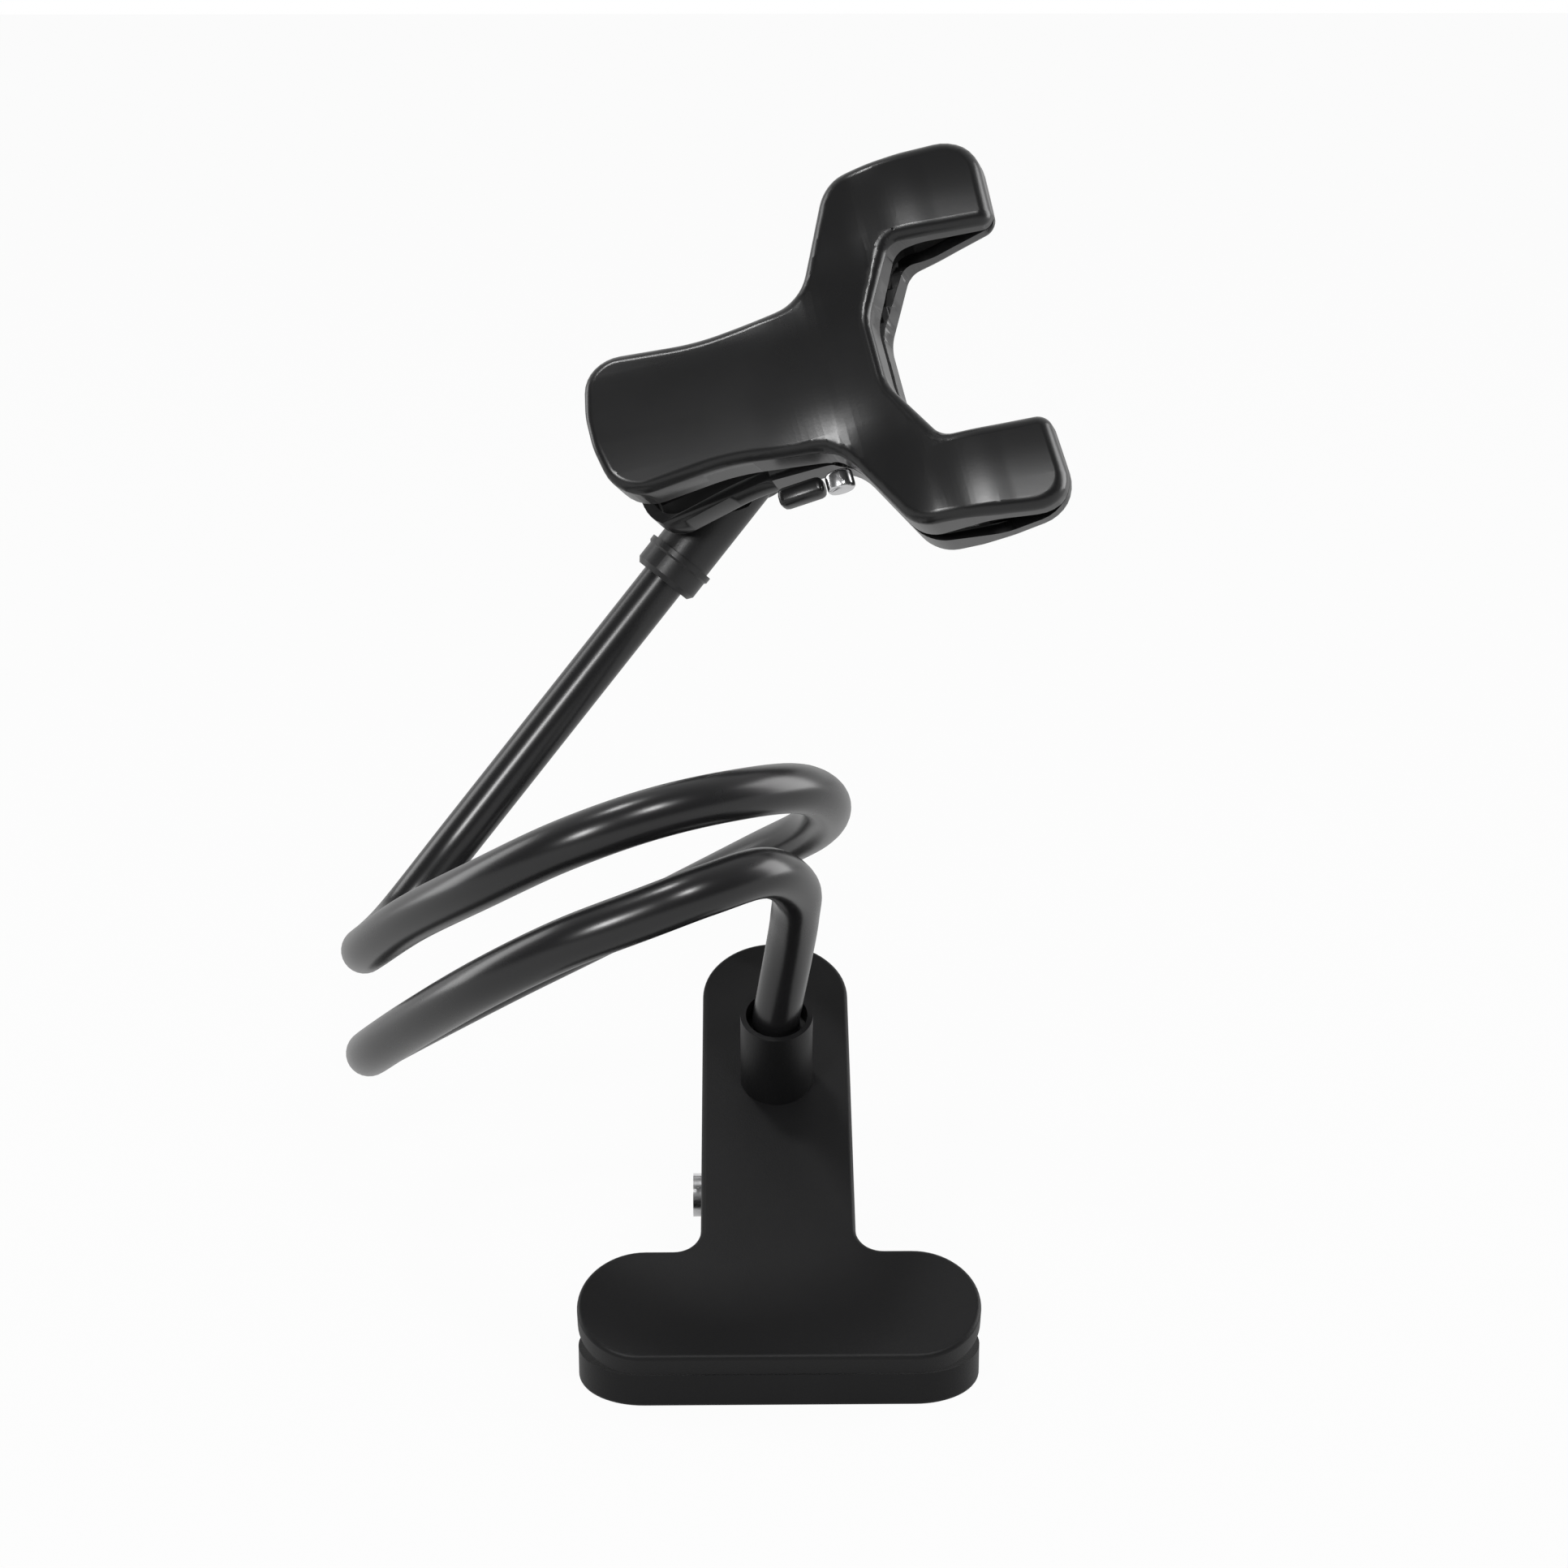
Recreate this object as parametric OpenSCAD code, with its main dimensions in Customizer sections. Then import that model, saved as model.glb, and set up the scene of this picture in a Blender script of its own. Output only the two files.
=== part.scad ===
// Clip phone holder: a spring clamp base, a bendable arm in two loose loops and a two-jaw phone clip.
// The origin is on the resting surface, below the clamp's hinge pin.
// +X is to the right, +Y runs back along the clamp's handles and +Z is up.

/* [Clamp base] */
// Width of the clamp's T-shaped jaw
head_w = 69; // [60:1:83]
// Depth of the clamp's T-shaped jaw, whose ends are full rounds
head_d = 23; // [20:0.5:27]
// Width of the clamp's handles
stem_w = 27; // [25:0.5:33]
// Length of a clamp half from its lip to the end of its handle
clamp_len = 97; // [90:1:117]
// Radius of the fillets where a handle meets its jaw
stem_fillet = 4.7; // [3:0.1:6]
// Height of the upper half from its rim to its top face
upper_h = 4.5; // [4:0.1:6]
// Height of the lower half from its flat face to its rim
lower_h = 6; // [5:0.1:7.5]
// Thickness of the skin and the rim walls of both halves
clamp_wall = 2.2; // [1.8:0.1:2.8]
// Distance from the jaw's lip back to the hinge pin
jaw_reach = 42; // [38:0.5:50]
// Height of the hinge pin above the resting surface
pin_z = 19.5; // [18:0.5:23]
// Angle between the two halves while the jaws are closed
closed_angle = 25; // [22:0.5:28]
// Radius of the clamp's hinge pin
pin_r = 2; // [1.5:0.1:2.4]
// Radius of the hinge ears round the pin
ear_r = 4.3; // [4:0.1:5]

/* [Arm socket] */
// Distance from the handle's end to the socket's axis
socket_back = 34.5; // [28:0.5:40]
// Height of the socket above the handle's top face
socket_h = 17; // [14:0.5:21]
// Outer radius of the socket
socket_r = 6.5; // [6.4:0.1:7.5]
// Radius of the socket's bore
socket_bore_r = 5.5; // [5.4:0.1:5.8]

/* [Arm] */
// Outer radius of the arm's plastic sheath
arm_r = 4.25; // [3.6:0.05:4.3]
// Radius of the bendable metal core
core_r = 2.5; // [1.8:0.1:3]

/* [Swivel] */
// Distance from the swivel's eye to the lower end of its sleeve
sleeve_len = 27; // [24:0.5:34]
// Outer radius of the swivel's sleeve
sleeve_r = 5.9; // [5.9:0.1:6.2]
// Thickness of the swivel's flat eye
eye_t = 5; // [4:0.1:6]
// Distance from the clip's middle plane back to the middle of the eye
eye_off = 25; // [24.4:0.1:28]
// Length of the collar nut
collar_len = 5.8; // [5:0.1:8]
// Outer radius of the collar nut
collar_r = 6.8; // [6.7:0.1:6.9]

/* [Phone clip] */
// Distance from the clip's pin to the end of the handles
handle_reach = 40; // [36:0.5:48]
// Distance from the clip's pin to the finger tips
finger_reach = 37.9; // [35:0.1:44]
// Width of the clip's handles
handle_w = 29; // [28.6:0.1:34]
// Width over both fingers at their tips
span_w = 72.1; // [70:0.1:82]
// Width over the knees, where the arms bend into the fingers
knee_w = 67.3; // [64:0.1:69]
// Width of the fork between the fingers
fork_w = 37.7; // [34:0.1:43]
// Distance from the clip's pin to the root of the fork
fork_root = 13.2; // [12.4:0.1:14.4]
// Half thickness of the clip at the end of its handles
end_t = 17.1; // [16:0.1:17.6]
// Half thickness of the clip at its pin
pivot_t = 8.6; // [8.4:0.1:9.4]
// Half thickness of the clip at the knuckles of its fingers
knuckle_t = 11.4; // [10:0.1:12.4]
// Half thickness of the clip at its finger tips
tip_t = 3.7; // [3:0.1:4.6]
// Skin and wall thickness of the clip's jaws
jaw_wall = 2; // [1.6:0.1:2.4]
// Height of the arch under the clip's fingers
arch_z = 4.6; // [3:0.1:5]
// Radius of the clip's hinge pin
clip_pin_r = 1.5; // [1.2:0.1:1.8]

/* [Hidden] */
$fn = 64;

// Clearances: a running fit, a fixed seat and the small gaps between neighbours
run_gap = 0.05;
seat_gap = 0.05;
side_gap = 0.3;
lip_gap = 0.2;
through = 1;

// Clamp: pin in the upper half's own frame, whose origin is on the lip and whose rim plane is z = 0
lip_z = lower_h + lip_gap;
pin_s = jaw_reach * cos(closed_angle) + (pin_z - lip_z) * sin(closed_angle);
pin_h = (pin_z - lip_z) * cos(closed_angle) - jaw_reach * sin(closed_angle);
ear_t = clamp_wall;
outer_ear_x = stem_w / 2 - ear_t;
inner_ear_x = outer_ear_x - side_gap - ear_t;
pin_head_t = 1.5;
pin_end_gap = 0.2;
retainer_t = 0.8;
pad_inset = clamp_wall + 0.15;
pad_gap = 0.02;
pad_rib_h = 1;
pad_rib_w = 1.6;
pad_rib_pitch = 3.6;

// Torsion spring of the clamp
clamp_wire_r = 0.9;
clamp_coil_r = pin_r + clamp_wire_r + 0.35;
clamp_turns = 5;

// Arm socket: foot on the plate, mouth and axis direction in the part's frame
socket_s = clamp_len - socket_back;
socket_dir = [0, -sin(closed_angle), cos(closed_angle)];
socket_foot = [0, -jaw_reach, lip_z] + socket_s * [0, cos(closed_angle), sin(closed_angle)]
    + upper_h * socket_dir;
socket_mouth = socket_foot + socket_h * socket_dir;
foot_ferrule_len = socket_h - 4;
foot_floor_t = 4;
foot_screw_r = 1.5;
sheath_bore_r = core_r + 0.1;
ferrule_bore_r = arm_r + run_gap;

// Phone clip's frame: x along the clip towards the finger tips, y across it and z towards the viewer
clip_turn = [60, -20, -7.2];
eye_u = -20.1;
arm_angle = 35.6;
eye_from_mouth = [-3.2, 64.8, 86.2];
eye_at = socket_mouth + eye_from_mouth;
arm_dir = turned([cos(arm_angle), sin(arm_angle), 0], clip_turn);

// Swivel
sleeve_bore = 15;
top_ferrule_len = sleeve_bore - 2;
top_ferrule_r = arm_r + 0.65;
sleeve_bore_r = top_ferrule_r + run_gap;
neck_len = 9;
eye_r = 6.5;
swivel_r = 2;
swivel_hole_r = swivel_r + run_gap;
washer_t = 0.8;
boss_r = 6;
boss_end = eye_off - eye_t / 2 - washer_t - 2 * seat_gap;
nut_af = 7;
nut_t = 3.2;
collar_wall = 0.8;
collar_end_t = 1.3;
collar_hole_r = arm_r + 0.2;

// Clip hinge
clip_ear_r = 3.9;
clip_ear_t = 1.65;
near_ear_y = 0.7;
far_ear_y = near_ear_y + clip_ear_t + side_gap;
coil_y = far_ear_y + clip_ear_t + side_gap;
clip_wire_r = 0.7;
clip_coil_r = clip_pin_r + clip_wire_r + 0.3;
clip_leg_angle = 68;
clip_turns = 2 + 2 * clip_leg_angle / 360;
clip_pitch = 2 * clip_wire_r + 0.2;
clip_cap_len = 1;
clip_head_t = 0.7;
clip_pin_half = coil_y + clip_turns * clip_pitch + 2 * clip_wire_r + 0.2 + clip_cap_len;

// The arm's bends from the socket's mouth to its straight end, as offsets from the mouth
arm_bends = [
    [0.6, -7, 14], [1.6, -14, 24], [1.4, -22, 32], [-3.4, -34, 39], [-12.1, -41.9, 39],
    [-21.8, -44.7, 36], [-35.5, -43.5, 30], [-49.4, -35.4, 20], [-62.7, -18.2, 6], [-72.9, 2.9, -8],
    [-73.6, 25, -16], [-64.8, 38.8, -16], [-50.3, 46.7, -11], [-34.3, 47.5, -3], [-18.6, 43.2, 7],
    [-4.1, 32.1, 19], [5.3, 15.9, 30], [7.1, -1.1, 40], [2.1, -17, 48], [-8.7, -29.9, 51],
    [-21.4, -36.7, 50], [-35.4, -37.5, 45], [-49.3, -30.4, 36], [-62.7, -14.2, 24], [-72.9, 5.9, 11],
    [-74.9, 22, 5]
];
straight_steps = [110, 90, 70, 50, 30];
arm_end_back = sleeve_len - sleeve_bore + 0.5;
foot_lift = foot_floor_t + seat_gap;
arm_route = concat(
    [socket_foot - 8 * socket_dir, socket_foot + foot_lift * socket_dir],
    [socket_foot + (foot_ferrule_len + 1) * socket_dir, socket_mouth],
    [for (b = arm_bends) socket_mouth + b],
    [for (s = straight_steps) eye_at - s * arm_dir],
    [eye_at - arm_end_back * arm_dir, eye_at]
);
arm_path = smooth_path(arm_route, 3);

// Turns a vector as rotate() turns a shape
function turned(v, a) =
    let (x = [v[0], v[1] * cos(a[0]) - v[2] * sin(a[0]), v[1] * sin(a[0]) + v[2] * cos(a[0])])
    let (y = [x[0] * cos(a[1]) + x[2] * sin(a[1]), x[1], x[2] * cos(a[1]) - x[0] * sin(a[1])])
    [y[0] * cos(a[2]) - y[1] * sin(a[2]), y[0] * sin(a[2]) + y[1] * cos(a[2]), y[2]];

function unit(v) = v / norm(v);

// Smooth curve through the route's points; its first and last points only steer it
function between(a, b, c, d, t) =
    0.5 * (2 * b + (c - a) * t + (2 * a - 5 * b + 4 * c - d) * t * t + (3 * b - a - 3 * c + d) * t * t * t);
function smooth_path(p, n) = concat(
    [for (i = [1 : len(p) - 3]) for (k = [0 : n - 1]) between(p[i - 1], p[i], p[i + 1], p[i + 2], k / n)],
    [p[len(p) - 2]]
);

// Directions along a path, and a side direction carried along it without twist
function path_dirs(p) = [for (i = [0 : len(p) - 1]) unit(p[min(i + 1, len(p) - 1)] - p[max(i - 1, 0)])];
function any_side(t) = unit(cross(t, abs(t[2]) < 0.8 ? [0, 0, 1] : [1, 0, 0]));
function levelled(v, t) = unit(v - (v * t) * t);
function path_sides(t) = [
    for (i = 0, v = any_side(t[0]); i < len(t); i = i + 1, v = levelled(v, t[min(i, len(t) - 1)])) v
];
function ring_points(p, r, sides) =
    let (t = path_dirs(p), v = path_sides(t))
    [for (i = [0 : len(p) - 1]) for (k = [0 : sides - 1])
        p[i] + r * (cos(k * 360 / sides) * v[i] + sin(k * 360 / sides) * cross(t[i], v[i]))];
function skin_faces(rings, sides, first, inward) = [
    for (i = [0 : rings - 2]) for (k = [0 : sides - 1])
        let (a = first + i * sides + k, b = first + i * sides + (k + 1) % sides)
        for (f = [[a, b + sides, b], [a, a + sides, b + sides]]) inward ? [f[2], f[1], f[0]] : f
];

// A round rod along a path
module rod_along(path, r, sides) {
    rings = len(path);
    polyhedron(
        points = ring_points(path, r, sides),
        faces = concat(
            skin_faces(rings, sides, 0, false),
            [[for (k = [0 : sides - 1]) k]],
            [[for (k = [sides - 1 : -1 : 0]) (rings - 1) * sides + k]]
        )
    );
}

// A hollow tube along a path
module tube_along(path, r, bore_r, sides) {
    rings = len(path);
    inner = rings * sides;
    last = inner - sides;
    polyhedron(
        points = concat(ring_points(path, r, sides), ring_points(path, bore_r, sides)),
        faces = concat(
            skin_faces(rings, sides, 0, false),
            skin_faces(rings, sides, inner, true),
            [for (k = [0 : sides - 1]) let (n = (k + 1) % sides) [k, n, inner + n]],
            [for (k = [0 : sides - 1]) let (n = (k + 1) % sides) [k, inner + n, inner + k]],
            [for (k = [0 : sides - 1]) let (n = (k + 1) % sides)
                [last + k, last + inner + n, last + n]],
            [for (k = [0 : sides - 1]) let (n = (k + 1) % sides)
                [last + k, last + inner + k, last + inner + n]]
        )
    );
}

// Outline with rounded corners from a counter-clockwise list of [x, y, radius]
function xy(c) = [c[0], c[1]];
function corner_bend(c, i) =
    let (n = len(c), q = xy(c[i]), a = unit(xy(c[(i + n - 1) % n]) - q), b = unit(xy(c[(i + 1) % n]) - q))
    [q, a, b, acos(a * b) / 2, cross(b, a) > 0 ? 1 : -1];
function rounded(c, steps = 8) = [
    for (i = [0 : len(c) - 1])
        let (g = corner_bend(c, i), r = c[i][2], mid = g[0] + unit(g[1] + g[2]) * r / sin(g[3]))
        let (from = g[0] + g[1] * r / tan(g[3]) - mid, start = atan2(from[1], from[0]))
        for (k = [0 : steps])
            let (t = start + g[4] * (180 - 2 * g[3]) * k / steps) mid + r * [cos(t), sin(t)]
];
// The same corners moved inward by d
function inset(c, d) = [
    for (i = [0 : len(c) - 1])
        let (g = corner_bend(c, i), p = g[0] + g[4] * unit(g[1] + g[2]) * d / sin(g[3]))
        [p[0], p[1], max(c[i][2] - g[4] * d, 0.4)]
];

// Extrudes a (y, z) outline between two places along X, or an (x, z) outline along Y
module along_x(x0, x1) {
    rotate([90, 0, 90]) translate([0, 0, x0]) linear_extrude(x1 - x0) children();
}
module along_y(y0, y1) {
    rotate([90, 0, 0]) translate([0, 0, -y1]) linear_extrude(y1 - y0) children();
}
module both_sides() {
    children();
    mirror([1, 0, 0]) children();
}

// Places: the upper clamp half, the socket, the swivel's axis and the clip
module in_upper() {
    translate([0, -jaw_reach, lip_z]) rotate([closed_angle, 0, 0]) children();
}
module at_socket() {
    in_upper() translate([0, socket_s, upper_h]) children();
}
module on_arm() {
    translate(eye_at) rotate(clip_turn) rotate([0, 0, arm_angle]) rotate([0, -90, 0]) children();
}
module in_clip() {
    translate(eye_at) rotate(clip_turn) translate([-eye_u, 0, eye_off]) children();
}

// Plan of a clamp half, inset by i: a full-round jaw, a round-ended handle and two fillets
module clamp_plan(i) {
    ends = head_w / 2 - head_d / 2;
    translate([-ends, i]) square([2 * ends, head_d - 2 * i]);
    for (side = [-1, 1]) {
        translate([side * ends, head_d / 2]) circle(r = head_d / 2 - i);
        fillet_r = stem_fillet + i;
        difference() {
            translate([side * (stem_w / 2 - i + fillet_r / 2), head_d - i + fillet_r / 2])
                square(fillet_r, center = true);
            translate([side * (stem_w / 2 + stem_fillet), head_d + stem_fillet]) circle(r = fillet_r);
        }
    }
    translate([-stem_w / 2 + i, head_d / 2]) square([stem_w - 2 * i, clamp_len - stem_w / 2 - head_d / 2]);
    translate([0, clamp_len - stem_w / 2]) circle(r = stem_w / 2 - i);
}

// Hinge ear in a (y, z) plane: a round eye on a foot that spreads to the plate
module ear_plan(pin, foot_z, foot_w) {
    translate(pin) circle(r = ear_r);
    polygon([
        [pin[0] - ear_r, pin[1]], [pin[0] + ear_r, pin[1]],
        [pin[0] + foot_w / 2, foot_z], [pin[0] - foot_w / 2, foot_z]
    ]);
}

module base_lower_half() {
    color([0.13, 0.13, 0.14])
    difference() {
        union() {
            translate([0, -jaw_reach, 0]) difference() {
                linear_extrude(lower_h) clamp_plan(0);
                translate([0, 0, clamp_wall]) linear_extrude(lower_h) clamp_plan(clamp_wall);
            }
            both_sides() along_x(outer_ear_x, stem_w / 2) ear_plan([0, pin_z], clamp_wall / 2, 20);
        }
        along_x(-stem_w, stem_w) translate([0, pin_z]) circle(r = pin_r + run_gap);
    }
}

module base_upper_half() {
    color([0.13, 0.13, 0.14])
    in_upper() difference() {
        union() {
            difference() {
                linear_extrude(upper_h) clamp_plan(0);
                translate([0, 0, -through]) linear_extrude(upper_h - clamp_wall + through)
                    clamp_plan(clamp_wall);
            }
            both_sides() along_x(inner_ear_x, inner_ear_x + ear_t)
                ear_plan([pin_s, pin_h], upper_h - clamp_wall / 2, 14);
            translate([0, socket_s, upper_h - clamp_wall / 2])
                cylinder(r = socket_r, h = socket_h + clamp_wall / 2);
        }
        along_x(-stem_w, stem_w) translate([pin_s, pin_h]) circle(r = pin_r + run_gap);
        translate([0, socket_s, upper_h]) cylinder(r = socket_bore_r, h = socket_h + through);
        translate([0, socket_s, upper_h - clamp_wall - through])
            cylinder(r = foot_screw_r + 0.1, h = clamp_wall + 2 * through);
    }
}

// Rubber pad of a clamp jaw: a slab with ribs across the grip, its back on z = 0
module clamp_pad(height) {
    ribs = floor((head_d - 2 * pad_inset - pad_rib_w) / pad_rib_pitch);
    first_rib = head_d / 2 - ribs * pad_rib_pitch / 2;
    module slab(h) {
        linear_extrude(h) intersection() {
            clamp_plan(pad_inset);
            translate([-head_w, 0]) square([2 * head_w, head_d - pad_inset]);
        }
    }
    slab(height - pad_rib_h);
    intersection() {
        slab(height);
        for (k = [0 : ribs])
            translate([-head_w / 2, first_rib + k * pad_rib_pitch - pad_rib_w / 2, 0])
                cube([head_w, pad_rib_w, height]);
    }
}

module base_lower_pad() {
    color([0.08, 0.08, 0.08])
    translate([0, -jaw_reach, clamp_wall + pad_gap]) clamp_pad(lower_h - clamp_wall - 0.1 - pad_gap);
}

module base_upper_pad() {
    color([0.08, 0.08, 0.08])
    in_upper() translate([0, 0, upper_h - clamp_wall - pad_gap]) mirror([0, 0, 1])
        clamp_pad(upper_h - clamp_wall - 0.1 - pad_gap);
}

module base_pin() {
    color([0.7, 0.71, 0.73])
    translate([-stem_w / 2 - seat_gap, 0, pin_z]) rotate([0, 90, 0]) {
        translate([0, 0, -pin_head_t / 2])
            cylinder(r = pin_r, h = stem_w + seat_gap - pin_end_gap + pin_head_t / 2);
        translate([0, 0, -pin_head_t]) cylinder(r = ear_r - 0.45, h = pin_head_t);
    }
}

// Push-on cap: a thin disc with a short collar that grips the pin
module push_cap(r, bore, disc_t, len) {
    difference() {
        union() {
            cylinder(r = r, h = disc_t);
            cylinder(r = bore + 0.7, h = len);
        }
        translate([0, 0, -through]) cylinder(r = bore, h = len + 2 * through);
    }
}

module base_pin_retainer() {
    color([0.55, 0.56, 0.58])
    translate([inner_ear_x - seat_gap, 0, pin_z]) rotate([0, -90, 0])
        push_cap(ear_r - 0.6, pin_r + seat_gap, retainer_t, 1.6);
}

// Points of a coil round the X axis in its (y, z) plane, with x running from x0
function coil_points(r, a0, a1, x0, pitch, step) = [
    for (k = [0 : ceil((a1 - a0) / step)])
        let (a = a0 + (a1 - a0) * k / ceil((a1 - a0) / step))
        [x0 + pitch * (a - a0) / 360, r * cos(a), r * sin(a)]
];

module base_spring() {
    pitch = 2 * clamp_wire_r + 0.15;
    start = closed_angle + 105;
    finish = 230 + 360 * clamp_turns;
    x0 = -pitch * (finish - start) / 720;
    coil = coil_points(clamp_coil_r, start, finish, x0, pitch, 24);
    upper_room = upper_h - clamp_wall - pin_h - clamp_wire_r - 0.2;
    upper_leg = (upper_room - clamp_coil_r * cos(15)) / sin(15);
    lower_room = pin_z - clamp_wall - clamp_wire_r - 0.2;
    lower_leg = (lower_room - clamp_coil_r * sin(50)) / sin(40);
    first = coil[0];
    last = coil[len(coil) - 1];
    color([0.6, 0.61, 0.63])
    translate([0, 0, pin_z]) rod_along(concat(
        [first + upper_leg * [0, sin(start), -cos(start)]],
        coil,
        [last + lower_leg * [0, cos(40), -sin(40)]]
    ), clamp_wire_r, 8);
}

module arm_foot_ferrule() {
    color([0.12, 0.12, 0.12])
    at_socket() translate([0, 0, seat_gap]) difference() {
        cylinder(r = socket_bore_r - run_gap, h = foot_ferrule_len);
        translate([0, 0, foot_floor_t - seat_gap]) cylinder(r = ferrule_bore_r, h = foot_ferrule_len);
        translate([0, 0, -through]) cylinder(r = foot_screw_r + run_gap, h = foot_floor_t + through);
    }
}

// Pan-head screw along +Z with its head below z = 0 and a cross recess
module pan_screw(r, len, head_r, head_h) {
    difference() {
        union() {
            cylinder(r = r, h = len);
            translate([0, 0, -head_h]) cylinder(r1 = head_r - 0.5, r2 = head_r, h = head_h / 2);
            translate([0, 0, -head_h / 2]) cylinder(r = head_r, h = head_h / 2);
        }
        for (a = [0, 90])
            rotate([0, 0, a]) translate([0, 0, -head_h + head_h / 4])
                cube([head_r * 1.1, 0.7, head_h / 2 + 0.02], center = true);
    }
}

module arm_foot_screw() {
    color([0.7, 0.71, 0.73])
    at_socket() translate([0, 0, -clamp_wall - seat_gap])
        pan_screw(foot_screw_r, clamp_wall + foot_floor_t - 0.2, 2.6, 1.8);
}

module arm_sheath() {
    color([0.16, 0.16, 0.17])
    tube_along(arm_path, arm_r, sheath_bore_r, 12);
}

module arm_core() {
    color([0.62, 0.63, 0.65])
    rod_along(arm_path, core_r, 12);
}

module arm_top_ferrule() {
    color([0.12, 0.12, 0.12])
    on_arm() translate([0, 0, sleeve_len - sleeve_bore + 1]) difference() {
        cylinder(r = top_ferrule_r, h = top_ferrule_len);
        translate([0, 0, -through]) cylinder(r = ferrule_bore_r, h = top_ferrule_len + 2 * through);
    }
}

// Ring nut that turns on the sleeve's lower end: a lip, a waist and a chamfered body
module collar_nut() {
    bore_r = sleeve_r + run_gap;
    hole_z = collar_len - collar_end_t;
    color([0.13, 0.13, 0.14])
    on_arm() translate([0, 0, sleeve_len + seat_gap - hole_z]) rotate_extrude() polygon([
        [bore_r, 0], [collar_r, 0], [collar_r, 1.1], [collar_r - 0.35, 1.5],
        [collar_r - 0.35, collar_len - 1], [collar_r - 1.1, collar_len],
        [collar_hole_r, collar_len], [collar_hole_r, hole_z], [bore_r, hole_z]
    ]);
}

// Sleeve whose end is flattened into an eye, in a frame with z down the arm and x across the clip
module swivel_sleeve() {
    color([0.13, 0.13, 0.14])
    on_arm() difference() {
        union() {
            cylinder(r = sleeve_r, h = sleeve_len);
            rotate([0, 90, 0]) cylinder(r = eye_r, h = eye_t, center = true);
        }
        for (side = [0, 180]) rotate([0, 0, side]) rotate([90, 0, 0])
            translate([0, 0, -2 * eye_r]) linear_extrude(4 * eye_r) polygon([
                [eye_t / 2, -2 * eye_r], [2 * eye_r, -2 * eye_r], [2 * eye_r, neck_len + 4],
                [sleeve_r + 0.1, neck_len + 4], [eye_t / 2, neck_len - 1.5]
            ]);
        rotate([0, 90, 0]) cylinder(r = swivel_hole_r, h = 4 * eye_t, center = true);
        translate([0, 0, sleeve_len - sleeve_bore]) cylinder(r = sleeve_bore_r, h = sleeve_bore + through);
    }
}

module swivel_screw() {
    head_z = -eye_off - eye_t / 2 - seat_gap;
    nut_z = -jaw_z(eye_u) + jaw_wall;
    color([0.7, 0.71, 0.73])
    in_clip() translate([eye_u, 0, head_z]) pan_screw(swivel_r, nut_z - head_z, 4, 2.2);
}

module swivel_washer() {
    color([0.7, 0.71, 0.73])
    in_clip() translate([eye_u, 0, -boss_end - seat_gap - washer_t]) difference() {
        cylinder(r = boss_r - 0.5, h = washer_t);
        translate([0, 0, -through]) cylinder(r = swivel_hole_r, h = washer_t + 2 * through);
    }
}

module swivel_nut() {
    color([0.7, 0.71, 0.73])
    in_clip() translate([eye_u, 0, -jaw_z(eye_u) + jaw_wall - nut_t]) difference() {
        cylinder(r = nut_af / sqrt(3), h = nut_t, $fn = 6);
        translate([0, 0, -through]) cylinder(r = swivel_hole_r, h = nut_t + 2 * through);
    }
}

// Half thickness of the clip over its handle, which slopes evenly from its end to the pin
function jaw_z(u) = pivot_t + (end_t - pivot_t) * -u / handle_reach;

// Plan of a jaw: handle, neck and two fingers with a fork between them, as corners with radii
function jaw_half_plan() = [
    [fork_root, 6.7, 9],
    [fork_root + 6.8, fork_w / 2, 3.5],
    [finger_reach, fork_w / 2, 2.5],
    [finger_reach + 0.7, span_w / 2, 6],
    [fork_root - 1.8, knee_w / 2, 7],
    [fork_root - 11.7, handle_w / 2, 9],
    [-handle_reach * 0.45, handle_w / 2 - 2.5, 40],
    [-handle_reach + 2, handle_w / 2 - 0.5, 7],
    [-handle_reach, 3, 18]
];
jaw_corners = concat(
    jaw_half_plan(),
    [for (i = [len(jaw_half_plan()) - 1 : -1 : 0]) let (c = jaw_half_plan()[i]) [c[0], -c[1], c[2]]]
);

// Side view of all that lies under a jaw's outer face lowered by drop
knuckle_len = 18;
knuckle_u = finger_reach - knuckle_len;
side_end_u = handle_reach + 6;
side_tip_u = finger_reach + 3;
module under_face(drop) {
    translate([0, -drop]) polygon(rounded([
        [-side_end_u, -40, 0.1], [side_tip_u, -40, 0.1],
        [side_tip_u, tip_t - (knuckle_t - tip_t) * (side_tip_u - finger_reach) / knuckle_len, 0.1],
        [knuckle_u, knuckle_t, 12], [0, pivot_t, 30], [-side_end_u, jaw_z(-side_end_u), 0.1]
    ]));
}

// Side view of all that lies below a jaw's rim: it rises along the handle, so that the handles can
// be squeezed together, and arches over the fingers' middle
rim_z = 0.35;
rim_rise = 0.1925;
module under_rim() {
    polygon(rounded([
        [-side_end_u, -40, 0.1], [side_tip_u, -40, 0.1],
        [side_tip_u, 0.1, 0.1], [finger_reach - 2, 0.1, 2],
        [finger_reach - 13.4, arch_z, 8], [8, rim_z + 0.25, 12],
        [0, rim_z, 8], [-side_end_u, rim_z + rim_rise * side_end_u, 0.1]
    ]));
}

// Shell of a jaw: an outer skin with a rim wall along its edge, open on its inner side
module jaw_shell() {
    wide = span_w / 2 + 1;
    difference() {
        intersection() {
            translate([0, 0, lip_gap / 2]) linear_extrude(end_t + 10) polygon(rounded(jaw_corners));
            along_y(-wide, wide) under_face(0);
        }
        along_y(-wide, wide) under_rim();
        intersection() {
            translate([0, 0, -through]) linear_extrude(end_t + 10)
                polygon(rounded(inset(jaw_corners, jaw_wall)));
            along_y(-wide, wide) under_face(jaw_wall);
        }
    }
}

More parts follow.
